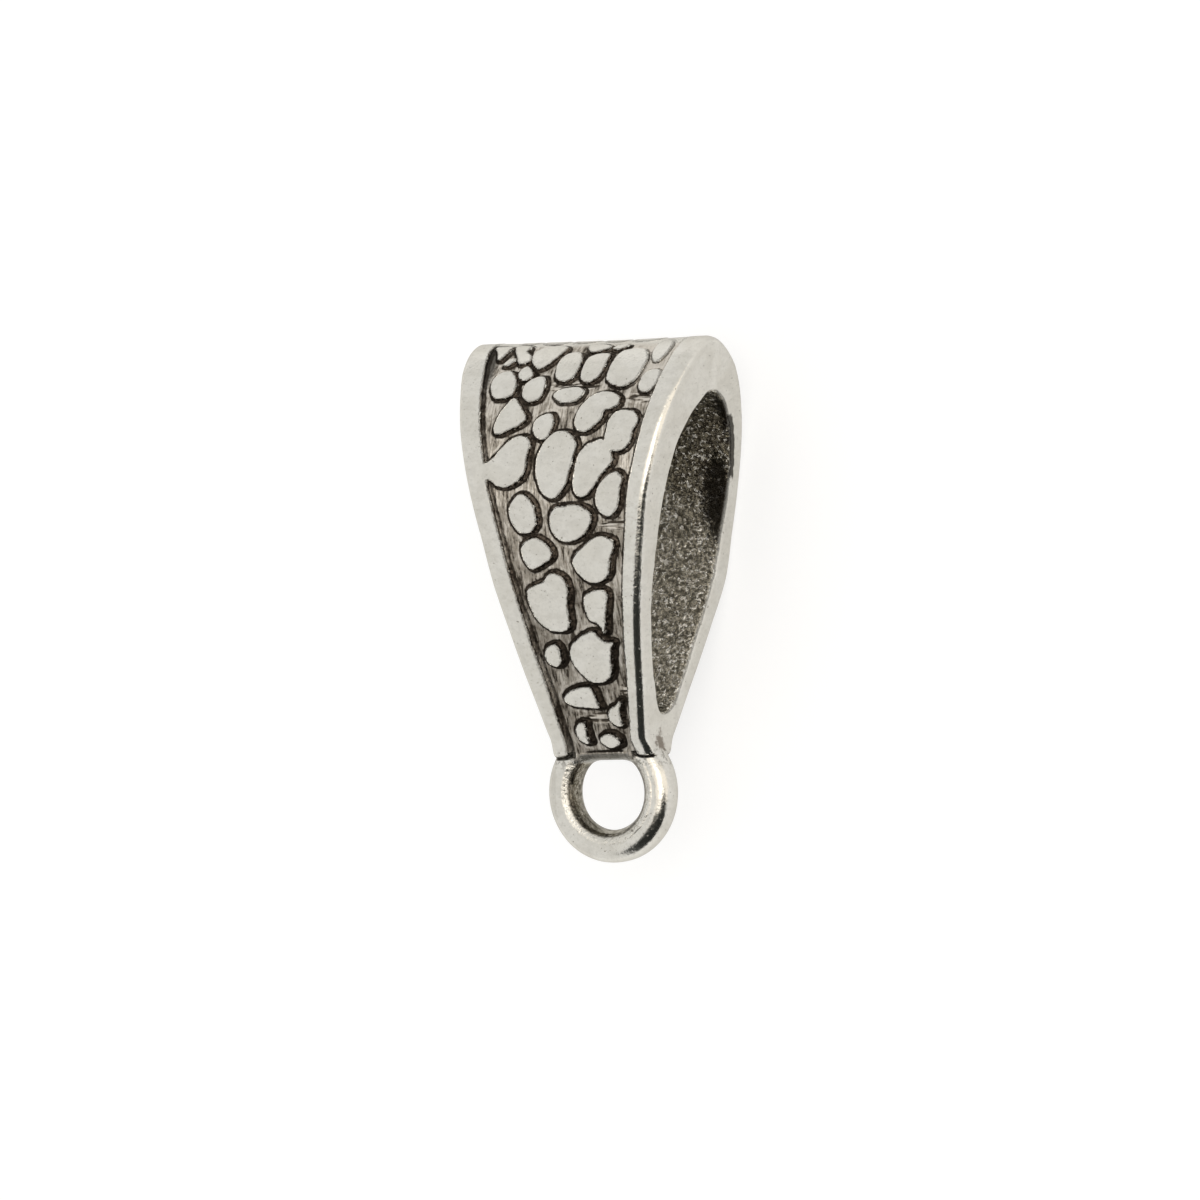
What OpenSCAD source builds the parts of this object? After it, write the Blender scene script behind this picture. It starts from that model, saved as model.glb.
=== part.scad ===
/* [Body] */
// Height from the foot of the ring to the top of the crown
height = 20; // [17:0.1:26]
// Width across the crown
crown_w = 10.4; // [8.6:0.1:13]
// Width across the two legs where they meet the ring
foot_w = 3.94; // [3.4:0.02:4.6]
// How far the front leg stands out from the plane of the ring
front_depth = 3.5; // [3.1:0.05:4.6]
// How far the back leg stands out from the plane of the ring
back_depth = 3.7; // [3.3:0.05:4.8]

/* [Walls] */
// Metal over the tunnel at the crown
crown_wall = 2.05; // [1.2:0.05:2.6]
// Metal of the front leg at its widest bulge
front_wall = 1.5; // [1:0.05:1.7]
// Metal of the back leg at its widest bulge
back_wall = 1; // [0.8:0.05:1.5]
// Solid metal between the ring's centre and the bottom of the tunnel
stem_h = 3.05; // [2.9:0.05:3.8]

/* [Rims and panel] */
// Width of each raised rim at the crown
rim_crown = 0.97; // [0.6:0.01:1.4]
// Width of each raised rim at the foot
rim_foot = 0.62; // [0.4:0.01:0.8]
// Depth of the panel's floor below the rims and the pebbles
recess = 0.35; // [0.15:0.05:0.5]

/* [Ring] */
// Radius of the hole that a pendant hangs from
bore_r = 1.38; // [1:0.02:1.6]
// Metal of the ring from the hole to its outer edge
ring_wall = 1.32; // [1:0.02:1.6]
// Thickness of the ring from front to back
ring_t = 1.3; // [1.1:0.05:1.6]
// Length of the hole's straight middle, between its two flared mouths
bore_land = 0.4; // [0.3:0.05:0.8]
// How far each mouth of the hole flares out
flare = 0.34; // [0.15:0.01:0.4]

/* [Rest] */
// Height of the balance point as a share of the height
balance = 0.667; // [0.64:0.001:0.69]

/* [Hidden] */

$fn = 96;
ring_r = bore_r + ring_wall;
ring_z = ring_r;
// The legs end just below the top of the ring's hole, at a share of its radius
foot_share = 0.97;
foot_z = ring_z + foot_share * bore_r;
body_h = height - foot_z;
tunnel_z = ring_z + stem_h;
tunnel_h = height - crown_wall - tunnel_z;
tunnel_front = front_depth - front_wall;
tunnel_back = back_depth - back_wall;
// Half width of the panel at the crown, which the pebbles are sized by
panel_crown = crown_w / 2 - rim_crown;
// How far a pebble's post runs past the panel's floor, as a share of panel_crown
post_share = 0.1;
// How far the cutting solids run past the faces that they cut
over = 1;

// Outside of each leg from the crown down: height as a share of body_h,
// then the front's and the back's shares of front_depth and back_depth
LEG = [
    [1.000, 0.000, 0.000],
    [0.985, 0.285, 0.270],
    [0.935, 0.540, 0.515],
    [0.850, 0.780, 0.740],
    [0.760, 0.930, 0.890],
    [0.640, 1.000, 0.990],
    [0.520, 0.940, 1.000],
    [0.410, 0.850, 0.965],
    [0.300, 0.715, 0.795],
    [0.160, 0.500, 0.525],
    [0.000, 0.260, 0.245]];

// Outside of the tunnel, once round from its top by way of the front: height as
// a share of tunnel_h, then share of tunnel_front (minus) or of tunnel_back (plus)
TUNNEL = [
    [1.000, 0.100],
    [0.968, -0.200],
    [0.905, -0.560],
    [0.815, -0.850],
    [0.660, -0.990],
    [0.505, -0.990],
    [0.350, -0.890],
    [0.193, -0.620],
    [0.045, -0.230],
    [0.000, 0.020],
    [0.035, 0.270],
    [0.193, 0.560],
    [0.340, 0.810],
    [0.500, 0.960],
    [0.660, 1.000],
    [0.815, 0.870],
    [0.915, 0.650],
    [0.975, 0.400]];

// Half width of the body: share of body_h, share of the way from foot to crown
TAPER = [[0, 0], [0.31, 0.27], [0.62, 0.575], [0.81, 0.79], [1, 1]];

// Rounding of the ring's outer edge: how far in from ring_r, then how far out
// from the ring's middle, both as shares of half its thickness
RING_EDGE = [[0, 0.42], [0.25, 0.8], [0.65, 1]];

// One mouth of the ring's hole: share of the way from the straight middle to the
// ring's face, then share of flare
MOUTH = [[0, 0], [0.55, 0.3], [1, 1]];

// Pebbles of one leg. along: share of the leg's outside from the crown down.
// across: share of the panel's half width there. long, wide: shares of
// panel_crown. turn: lean to the right in degrees. taper: how much wider the
// upper end is. square: 2 is an ellipse, and more is fuller at the corners.
//   along, across, long, wide, turn, taper, square
PEBBLES = [
    [0.070, -0.82, 0.140, 0.130, 10, 0.0, 2.2],
    [0.100, -0.70, 0.080, 0.090, 0, 0.0, 2.0],
    [0.080, -0.54, 0.220, 0.150, 25, 0.2, 2.4],
    [0.085, -0.30, 0.400, 0.200, 38, -0.1, 2.4],
    [0.118, -0.05, 0.370, 0.220, 30, 0.0, 2.4],
    [0.118, 0.19, 0.350, 0.200, 28, 0.0, 2.4],
    [0.052, 0.13, 0.130, 0.240, 0, 0.0, 2.2],
    [0.128, 0.52, 0.480, 0.265, 26, 0.1, 2.4],
    [0.167, 0.90, 0.240, 0.130, 20, 0.0, 2.2],
    [0.075, 0.88, 0.280, 0.190, 20, 0.0, 2.2],
    [0.170, -0.76, 0.240, 0.225, 20, 0.1, 2.6],
    [0.139, -0.50, 0.140, 0.145, 0, 0.0, 2.2],
    [0.183, -0.36, 0.255, 0.205, 22, 0.1, 2.4],
    [0.201, 0.03, 0.130, 0.270, -5, 0.0, 2.2],
    [0.246, -0.65, 0.350, 0.290, 18, -0.65, 2.3],
    [0.261, -0.22, 0.270, 0.185, 22, 0.1, 2.2],
    [0.237, 0.39, 0.490, 0.250, 45, 0.1, 2.3],
    [0.284, 0.78, 0.370, 0.255, 8, 0.0, 2.6],
    [0.362, 0.43, 0.540, 0.290, 20, -0.1, 2.3],
    [0.342, -0.66, 0.490, 0.350, 38, 0.2, 2.6],
    [0.356, -0.02, 0.620, 0.340, 8, 0.0, 2.3],
    [0.416, 0.74, 0.440, 0.220, 15, -0.1, 2.5],
    [0.455, -0.56, 0.370, 0.275, 4, 0.0, 2.3],
    [0.477, 0.16, 0.365, 0.410, 0, 0.1, 2.6],
    [0.540, -0.47, 0.300, 0.280, -24, 0.0, 3.2],
    [0.558, 0.48, 0.430, 0.400, 20, 0.1, 2.8],
    [0.652, -0.42, 0.560, 0.395, -4, -0.1, 2.5],
    [0.664, 0.51, 0.350, 0.215, -4, 0.1, 2.7],
    [0.770, -0.59, 0.200, 0.165, -5, 0.0, 2.2],
    [0.775, 0.27, 0.450, 0.420, 5, -0.1, 2.8],
    [0.868, -0.13, 0.200, 0.340, -10, -0.1, 2.3],
    [0.908, 0.60, 0.200, 0.120, -5, 0.0, 2.2],
    [0.946, -0.35, 0.190, 0.115, -10, 0.0, 2.3],
    [0.966, 0.34, 0.110, 0.175, 0, 0.0, 2.2]];

// Pebbles along the very top of the crown, in the same columns
CROWN_PEBBLES = [
    [0, -0.66, 0.150, 0.200, 20, 0.0, 2.4],
    [0, -0.38, 0.130, 0.170, 0, 0.0, 2.4],
    [0, -0.08, 0.120, 0.200, 10, 0.0, 2.4],
    [0, 0.24, 0.130, 0.180, 0, 0.0, 2.4],
    [0, 0.56, 0.150, 0.210, 15, 0.0, 2.4]];
PEBBLE_SIDES = 12;

// Points of a smooth curve through p1 and p2, with its neighbours p0 and p3
function between(p0, p1, p2, p3, steps) = [
    for (i = [0:steps - 1])
        let (t = i / steps)
        (2 * p1 + (p2 - p0) * t + (2 * p0 - 5 * p1 + 4 * p2 - p3) * t * t
            + (3 * p1 - p0 - 3 * p2 + p3) * t * t * t) / 2];

// Smooth open curve whose first point is on the mirror line depth = 0
function leg_curve(p, steps) =
    let (last = len(p) - 1)
    concat([for (i = [0:last - 1])
        each between(i == 0 ? [-p[1][0], p[1][1]] : p[i - 1], p[i], p[i + 1],
            i + 2 > last ? 2 * p[last] - p[last - 1] : p[i + 2], steps)], [p[last]]);

// Smooth closed curve
function closed_curve(p, steps) =
    let (n = len(p))
    [for (i = [0:n - 1])
        each between(p[(i + n - 1) % n], p[i], p[(i + 1) % n], p[(i + 2) % n], steps)];

// Outside of one leg from crown to foot as [depth, z], side -1 front or 1 back
function leg(side) = leg_curve([
    for (row = LEG)
        [side < 0 ? -row[1] * front_depth : row[2] * back_depth, foot_z + row[0] * body_h]], 4);

// Outside of both legs, from the front foot over the crown to the back foot
function reversed(p) = [for (i = [len(p) - 1:-1:0]) p[i]];
function tail(p) = [for (i = [1:len(p) - 1]) p[i]];
function outside() = concat(reversed(leg(-1)), tail(leg(1)));

// The curve p moved by d to its left, seen along its run
function left_of(p, d) = [
    for (i = [0:len(p) - 1])
        let (run = p[min(i + 1, len(p) - 1)] - p[max(i - 1, 0)])
        p[i] + d * [-run[1], run[0]] / norm(run)];

// Place on one leg at a share of its length: [point, unit vector up the leg]
function run_to(p, i) = i == 0 ? 0 : run_to(p, i - 1) + norm(p[i] - p[i - 1]);
function on_leg(p, share) =
    let (runs = [for (i = [0:len(p) - 1]) run_to(p, i)],
        want = share * runs[len(p) - 1],
        i = max([for (k = [0:len(p) - 2]) runs[k] <= want ? k : 0]),
        step = p[i + 1] - p[i],
        back = (want - runs[i]) / norm(step),
        // At the crown's top the leg runs level
        up = share == 0 ? [p[1][0] > 0 ? -1 : 1, 0] : -step / norm(step))
    [p[i] + back * step, up];

// Half widths at a share of the body's height
function body_half(h) = foot_w / 2 + (crown_w - foot_w) / 2 * lookup(h, TAPER);
function rim_at(h) = rim_foot + (rim_crown - rim_foot) * h;
function panel_half(h) = body_half(h) - rim_at(h);
function share_of(z) = (z - foot_z) / body_h;

// Front view of the band that narrows to the foot, less a number of rims on each
// side, run past both ends
module tapered_band(rims) {
    right = [for (row = TAPER) [body_half(row[0]) - rims * rim_at(row[0]), foot_z + row[0] * body_h]];
    low = [right[0][0], foot_z - over];
    high = [right[len(right) - 1][0], height + over];
    outline = concat([low], right, [high]);
    rotate([90, 0, 0])
        linear_extrude(height = 2 * (front_depth + back_depth), center = true)
            polygon(concat(outline, [for (p = reversed(outline)) [-p[0], p[1]]]));
}

// A [depth, z] outline run through the whole width along X
module across(points) {
    rotate([90, 0, 90])
        linear_extrude(height = crown_w + 2 * over, center = true)
            polygon(points);
}

// Outline of one pebble on the flat, long axis along Y
function pebble_outline(long, wide, taper, square) = [
    for (i = [0:PEBBLE_SIDES - 1])
        let (a = (i + 0.5) * 360 / PEBBLE_SIDES,
            x = sign(cos(a)) * pow(abs(cos(a)), 2 / square),
            y = sign(sin(a)) * pow(abs(sin(a)), 2 / square))
        [wide / 2 * x * (1 + taper * y), long / 2 * y]];

// One pebble as a post that stands through the panel's floor and past its top
module pebble(row, side) {
    spot = on_leg(leg(side), row[0]);
    point = spot[0];
    up = spot[1];
    reach = recess + post_share * panel_crown;
    // Turned half round on the back, so that the pattern runs on over the crown
    x = -side * row[1] * panel_half(share_of(point[1]));
    translate([x, point[0], point[1]])
        rotate([atan2(up[1], up[0]), 0, 0])
            rotate([0, side > 0 ? 180 : 0, -row[4]])
                translate([0, 0, -reach])
                    linear_extrude(height = 2 * reach)
                        polygon(pebble_outline(row[2] * panel_crown, row[3] * panel_crown,
                            row[5], row[6]));
}

// The curve p run straight on past both of its ends
function run_past(p, d) =
    let (last = len(p) - 1,
        start = (p[0] - p[1]) / norm(p[0] - p[1]),
        end = (p[last] - p[last - 1]) / norm(p[last] - p[last - 1]))
    concat([p[0] + d * start], p, [p[last] + d * end]);

// Everything that is cut away between the rims: the panel less its pebbles
module panel_cut() {
    line = run_past(outside(), over);
    difference() {
        intersection() {
            across(concat(left_of(line, over), reversed(left_of(line, -recess))));
            tapered_band(1);
        }
        for (side = [-1, 1], row = PEBBLES) pebble(row, side);
        for (row = CROWN_PEBBLES) pebble(row, -1);
    }
}

// A [radius, depth] curve from the ring's middle to its back, led up to by its
// own mirror image from the front
function both_faces(p) = concat([for (q = reversed(p)) [q[0], -q[1]]], p);

// Half outline of the ring, filled in to its centre
function ring_section() =
    let (half = ring_t / 2)
    both_faces(concat([for (row = RING_EDGE) [ring_r - row[0] * half, row[1] * half]], [[0, half]]));

// Disc with a rounded edge that becomes the ring
module ring_disc() {
    translate([0, 0, ring_z])
        rotate([90, 0, 0])
            rotate_extrude()
                polygon(ring_section());
}

// The pendant hole with its straight middle and flared mouths
module bore_cut() {
    land = bore_land / 2;
    half = ring_t / 2;
    far = back_depth + over;
    mouth = [for (row = MOUTH) [bore_r + row[1] * flare, land + row[0] * (half - land)]];
    translate([0, 0, ring_z])
        rotate([90, 0, 0])
            rotate_extrude()
                polygon(both_faces(concat(mouth, [[bore_r + flare, far], [0, far]])));
}

// The whole finding, upright, with the ring's foot on z = 0
module upright() {
    difference() {
        union() {
            difference() {
                intersection() {
                    across(outside());
                    tapered_band(0);
                }
                across([for (row = closed_curve(TUNNEL, 3))
                    [row[1] * (row[1] < 0 ? tunnel_front : tunnel_back),
                        tunnel_z + row[0] * tunnel_h]]);
                panel_cut();
            }
            ring_disc();
        }
        bore_cut();
    }
}

// The bail lies on its back leg. Of the flats that make up that leg, it rests on
// the one that has the balance point over it.
function over_flat(a, b, c) = let (t = (c - a) * (b - a) / ((b - a) * (b - a))) t >= 0 && t <= 1;
back_leg = leg(1);
balance_point = [0, balance * height];
rest_flat = [
    for (i = [0:len(back_leg) - 2])
        if (back_leg[i][0] > back_depth / 2 && over_flat(back_leg[i], back_leg[i + 1], balance_point))
            i][0];
rest_run = back_leg[rest_flat] - back_leg[rest_flat + 1];
rest_lean = atan2(rest_run[0], rest_run[1]);

// A [depth, z] point of the upright bail as [y, z] once it lies down
function lain(p) = [
    p[1] * cos(rest_lean) + p[0] * sin(rest_lean),
    p[1] * sin(rest_lean) - p[0] * cos(rest_lean)];
crown_y = max([for (p = outside()) lain(p)[0]]);
ring_y = min([for (p = ring_section()) lain([p[1], ring_z - p[0]])[0]]);
floor_z = lain(back_leg[rest_flat])[1];

module bail() {
    color("silver")
        translate([0, -(crown_y + ring_y) / 2, -floor_z])
            rotate([rest_lean - 90, 0, 0])
                upright();
}

bail();
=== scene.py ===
import math

import bpy
import numpy as np
from mathutils import Matrix, Vector


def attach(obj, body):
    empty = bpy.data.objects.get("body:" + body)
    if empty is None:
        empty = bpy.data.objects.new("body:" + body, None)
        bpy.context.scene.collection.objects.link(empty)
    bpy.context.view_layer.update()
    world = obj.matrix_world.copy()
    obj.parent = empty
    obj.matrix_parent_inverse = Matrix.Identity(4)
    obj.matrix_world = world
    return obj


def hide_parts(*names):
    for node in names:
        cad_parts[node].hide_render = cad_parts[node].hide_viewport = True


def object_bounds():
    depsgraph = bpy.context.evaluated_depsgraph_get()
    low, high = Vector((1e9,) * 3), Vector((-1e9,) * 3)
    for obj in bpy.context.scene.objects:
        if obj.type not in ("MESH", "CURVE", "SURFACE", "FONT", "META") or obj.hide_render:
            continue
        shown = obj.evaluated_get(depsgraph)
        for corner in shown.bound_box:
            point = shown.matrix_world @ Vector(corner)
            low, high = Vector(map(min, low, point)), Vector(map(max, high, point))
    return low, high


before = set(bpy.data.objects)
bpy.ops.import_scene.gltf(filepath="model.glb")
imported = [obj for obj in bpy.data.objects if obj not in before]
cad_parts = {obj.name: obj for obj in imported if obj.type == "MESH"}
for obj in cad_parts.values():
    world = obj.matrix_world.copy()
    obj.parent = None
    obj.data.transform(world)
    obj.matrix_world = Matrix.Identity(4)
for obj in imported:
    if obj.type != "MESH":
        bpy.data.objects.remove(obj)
CAD_BOX = [list(corner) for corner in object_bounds()]

# Sizes, in millimetres, as in the part's source. The bail is worked out
# upright: x along the tunnel, d the depth (front is minus), z up from the
# ring's foot. It is laid on its back leg at the end.
HEIGHT = 20.0
CROWN_W, FOOT_W = 10.4, 3.94
FRONT_DEPTH, BACK_DEPTH = 3.5, 3.7
CROWN_WALL, FRONT_WALL, BACK_WALL = 2.05, 1.5, 1.0
STEM_H = 3.05
RIM_CROWN, RIM_FOOT = 0.97, 0.62
RECESS = 0.35         # of the panel in the solid, and most that the relief reaches
BORE_R, RING_WALL, RING_T = 1.38, 1.32, 1.3
BALANCE = 0.667
FOOT_SHARE = 0.97

RING_R = BORE_R + RING_WALL
RING_Z = RING_R
FOOT_Z = RING_Z + FOOT_SHARE * BORE_R
BODY_H = HEIGHT - FOOT_Z
TUNNEL_Z = RING_Z + STEM_H
TUNNEL_H = HEIGHT - CROWN_WALL - TUNNEL_Z
TUNNEL_FRONT = FRONT_DEPTH - FRONT_WALL
TUNNEL_BACK = BACK_DEPTH - BACK_WALL
PANEL_CROWN = CROWN_W / 2 - RIM_CROWN

# Outside of each leg from the crown down: share of BODY_H, then the front's
# and the back's shares of their depths
LEG = [
    (1.000, 0.000, 0.000), (0.985, 0.285, 0.270), (0.935, 0.540, 0.515),
    (0.850, 0.780, 0.740), (0.760, 0.930, 0.890), (0.640, 1.000, 0.990),
    (0.520, 0.940, 1.000), (0.410, 0.850, 0.965), (0.300, 0.715, 0.795),
    (0.160, 0.500, 0.525), (0.000, 0.260, 0.245)]

# Outside of the tunnel, once round from its top by way of the front: share of
# TUNNEL_H, then share of TUNNEL_FRONT (minus) or of TUNNEL_BACK (plus)
TUNNEL = [
    (1.000, 0.100), (0.968, -0.200), (0.905, -0.560), (0.815, -0.850),
    (0.660, -0.990), (0.505, -0.990), (0.350, -0.890), (0.193, -0.620),
    (0.045, -0.230), (0.000, 0.020), (0.035, 0.270), (0.193, 0.560),
    (0.340, 0.810), (0.500, 0.960), (0.660, 1.000), (0.815, 0.870),
    (0.915, 0.650), (0.975, 0.400)]

# Half width of the body: share of BODY_H, share of the way from foot to crown
TAPER = [(0, 0), (0.31, 0.27), (0.62, 0.575), (0.81, 0.79), (1, 1)]

# Pebbles of one leg, each by points once round its top: share of the panel's half
# width there, from the middle to the right, then share of the leg from the crown down
PEBBLES = [
    [(-0.96, 0.045), (-0.80, 0.040), (-0.80, 0.060), (-0.86, 0.095), (-0.91, 0.070)],
    [(-0.80, 0.110), (-0.76, 0.094), (-0.70, 0.089), (-0.70, 0.101), (-0.755, 0.113)],
    [(-0.76, 0.040), (-0.70, 0.080), (-0.63, 0.107), (-0.53, 0.100), (-0.54, 0.082), (-0.60, 0.068),
     (-0.60, 0.040)],
    [(-0.50, 0.100), (-0.52, 0.075), (-0.46, 0.055), (-0.33, 0.042), (-0.20, 0.050), (-0.22, 0.078),
     (-0.32, 0.113), (-0.42, 0.122)],
    [(-0.20, 0.137), (-0.205, 0.105), (-0.15, 0.080), (-0.02, 0.076), (0.045, 0.105), (0.02, 0.145),
     (-0.07, 0.160), (-0.16, 0.154)],
    [(0.085, 0.140), (0.095, 0.100), (0.17, 0.085), (0.30, 0.083), (0.32, 0.110), (0.305, 0.148),
     (0.21, 0.165), (0.12, 0.158)],
    [(0.02, 0.045), (0.15, 0.040), (0.28, 0.056), (0.20, 0.070), (0.11, 0.078), (0.05, 0.066)],
    [(0.30, 0.065), (0.37, 0.048), (0.46, 0.053), (0.38, 0.070)],
    [(0.39, 0.150), (0.39, 0.105), (0.43, 0.078), (0.55, 0.069), (0.68, 0.076), (0.75, 0.110),
     (0.735, 0.155), (0.64, 0.177), (0.52, 0.176), (0.43, 0.164)],
    [(0.76, 0.055), (0.775, 0.092), (0.85, 0.117), (0.915, 0.105), (0.92, 0.060), (0.84, 0.035)],
    [(0.80, 0.182), (0.79, 0.155), (0.85, 0.139), (0.97, 0.141), (0.985, 0.170), (0.94, 0.191),
     (0.86, 0.193)],
    [(-0.89, 0.175), (-0.88, 0.148), (-0.78, 0.130), (-0.67, 0.132), (-0.62, 0.155), (-0.62, 0.182),
     (-0.72, 0.196), (-0.84, 0.195)],
    [(-0.60, 0.145), (-0.59, 0.124), (-0.52, 0.116), (-0.44, 0.139), (-0.52, 0.154)],
    [(-0.525, 0.185), (-0.50, 0.162), (-0.40, 0.146), (-0.30, 0.147), (-0.275, 0.175), (-0.32, 0.200),
     (-0.42, 0.207), (-0.49, 0.200)],
    [(-0.155, 0.192), (-0.08, 0.179), (0.10, 0.175), (0.19, 0.188), (0.12, 0.209), (-0.03, 0.212),
     (-0.12, 0.204)],
    [(-0.60, 0.197), (-0.51, 0.220), (-0.44, 0.243), (-0.49, 0.257), (-0.65, 0.272), (-0.80, 0.281),
     (-0.83, 0.265), (-0.77, 0.235), (-0.69, 0.212)],
    [(-0.345, 0.275), (-0.33, 0.253), (-0.24, 0.240), (-0.14, 0.237), (-0.10, 0.258), (-0.14, 0.285),
     (-0.21, 0.295), (-0.29, 0.290)],
    [(0.157, 0.255), (0.20, 0.274), (0.28, 0.281), (0.37, 0.275), (0.47, 0.255), (0.48, 0.236),
     (0.55, 0.230), (0.63, 0.220), (0.62, 0.203), (0.51, 0.190), (0.40, 0.189), (0.29, 0.199), (0.19, 0.225)],
    [(0.63, 0.238), (0.73, 0.234), (0.85, 0.239), (0.935, 0.260), (0.905, 0.280), (0.90, 0.305),
     (0.83, 0.322), (0.70, 0.325), (0.59, 0.312), (0.565, 0.285), (0.58, 0.255)],
    [(0.36, 0.309), (0.45, 0.302), (0.53, 0.298), (0.62, 0.308), (0.69, 0.330), (0.71, 0.350),
     (0.60, 0.376), (0.50, 0.402), (0.38, 0.421), (0.27, 0.418), (0.21, 0.395), (0.225, 0.360),
     (0.275, 0.327)],
    [(-0.83, 0.326), (-0.70, 0.303), (-0.57, 0.288), (-0.44, 0.286), (-0.375, 0.302), (-0.42, 0.330),
     (-0.445, 0.358), (-0.52, 0.376), (-0.68, 0.393), (-0.85, 0.393), (-0.95, 0.381), (-1.08, 0.373),
     (-1.08, 0.347), (-0.95, 0.340)],
    [(0.02, 0.277), (0.14, 0.285), (0.22, 0.306), (0.20, 0.335), (0.155, 0.365), (0.11, 0.393),
     (-0.04, 0.420), (-0.17, 0.419), (-0.27, 0.398), (-0.31, 0.362), (-0.28, 0.332), (-0.21, 0.305),
     (-0.10, 0.283)],
    [(0.80, 0.370), (0.90, 0.383), (0.88, 0.405), (0.885, 0.438), (0.81, 0.460), (0.70, 0.465),
     (0.58, 0.450), (0.54, 0.425), (0.58, 0.398), (0.68, 0.378)],
    [(-0.52, 0.411), (-0.40, 0.430), (-0.365, 0.458), (-0.40, 0.481), (-0.52, 0.494), (-0.66, 0.495),
     (-0.745, 0.475), (-0.755, 0.445), (-0.66, 0.421)],
    [(-0.10, 0.446), (0.06, 0.439), (0.28, 0.439), (0.43, 0.450), (0.475, 0.472), (0.36, 0.499),
     (0.21, 0.513), (0.04, 0.516), (-0.11, 0.503), (-0.17, 0.475)],
    [(-0.42, 0.506), (-0.31, 0.516), (-0.21, 0.534), (-0.24, 0.551), (-0.42, 0.566), (-0.57, 0.574),
     (-0.67, 0.562), (-0.70, 0.535), (-0.65, 0.518), (-0.53, 0.509)],
    [(0.61, 0.506), (0.75, 0.512), (0.83, 0.525), (0.77, 0.555), (0.735, 0.590), (0.62, 0.603),
     (0.46, 0.608), (0.30, 0.598), (0.18, 0.578), (0.13, 0.558), (0.22, 0.540), (0.36, 0.525), (0.48, 0.511)],
    [(-0.21, 0.584), (-0.07, 0.596), (-0.02, 0.618), (-0.07, 0.655), (-0.09, 0.692), (-0.18, 0.710),
     (-0.38, 0.714), (-0.56, 0.707), (-0.73, 0.684), (-0.78, 0.655), (-0.765, 0.622), (-0.63, 0.609),
     (-0.45, 0.602), (-0.35, 0.589)],
    [(0.34, 0.630), (0.50, 0.623), (0.66, 0.625), (0.70, 0.642), (0.66, 0.680), (0.63, 0.705),
     (0.60, 0.720), (0.53, 0.704), (0.45, 0.695), (0.33, 0.690), (0.255, 0.665), (0.27, 0.640)],
    [(-0.53, 0.742), (-0.45, 0.750), (-0.455, 0.780), (-0.58, 0.793), (-0.76, 0.785), (-0.79, 0.765),
     (-0.70, 0.749)],
    [(-0.01, 0.732), (0.14, 0.722), (0.36, 0.715), (0.48, 0.729), (0.58, 0.738), (0.76, 0.740),
     (0.70, 0.755), (0.665, 0.790), (0.65, 0.810), (0.55, 0.824), (0.35, 0.832), (0.12, 0.827),
     (-0.08, 0.810), (-0.22, 0.780), (-0.19, 0.752)],
    [(-0.65, 0.862), (-0.50, 0.850), (-0.23, 0.840), (0.00, 0.838), (0.11, 0.848), (0.19, 0.875),
     (0.225, 0.888), (0.05, 0.888), (-0.28, 0.885), (-0.50, 0.881), (-0.63, 0.872)],
    [(0.45, 0.900), (0.52, 0.890), (0.66, 0.884), (0.785, 0.871), (0.77, 0.885), (0.745, 0.897),
     (0.77, 0.918), (0.77, 0.930), (0.62, 0.928), (0.47, 0.918), (0.43, 0.908)],
    [(-0.575, 0.934), (-0.46, 0.923), (-0.28, 0.920), (-0.29, 0.932), (-0.30, 0.945), (-0.29, 0.966),
     (-0.40, 0.968), (-0.54, 0.960), (-0.60, 0.946)],
    [(0.056, 0.961), (0.16, 0.952), (0.32, 0.947), (0.48, 0.950), (0.62, 0.961), (0.60, 0.971),
     (0.48, 0.976), (0.30, 0.979), (0.14, 0.972)]]

# Low pebbles along the very top of the crown, in the same terms
CROWN_PEBBLES = [
    [(-0.74, -0.020), (-0.58, -0.018), (-0.60, 0.022), (-0.74, 0.020)],
    [(-0.50, -0.016), (-0.30, -0.014), (-0.28, 0.020), (-0.48, 0.026)],
    [(-0.20, -0.016), (0.02, -0.016), (0.03, 0.018), (-0.18, 0.020)],
    [(0.12, -0.016), (0.34, -0.018), (0.34, 0.020), (0.14, 0.018)],
    [(0.44, -0.018), (0.70, -0.016), (0.70, 0.022), (0.46, 0.026)]]

# Patches of the panel's floor with tool marks across the leg: across, along, then
# half their size each way in the same shares
CROSS_MARKS = [
    (0.12, 0.914, 0.24, 0.013), (0.55, 0.855, 0.24, 0.016), (0.80, 0.203, 0.20, 0.013),
    (0.00, 0.170, 0.30, 0.012), (0.62, 0.485, 0.25, 0.012)]

# How much broader the cast legs are than the solid on their left, each seen from its own
# front: share of BODY_H, then millimetres
BROAD = [(0, 0.02), (0.08, 0.10), (0.2, 0.16), (0.42, 0.16), (0.52, 0.09), (0.65, 0.07), (0.8, 0.09),
         (0.93, 0.11), (0.985, 0.02), (1, 0)]

# Small grey brown blots: x, depth, height and size, in millimetres
BLOTS = [(2.02, -0.62, 1.86, 0.10), (2.10, -0.20, 4.80, 0.34), (2.16, 0.05, 4.45, 0.30),
         (-2.12, 0.15, 4.70, 0.30), (-0.85, -0.62, 0.42, 0.07), (2.55, 0.30, 5.60, 0.22)]

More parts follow.
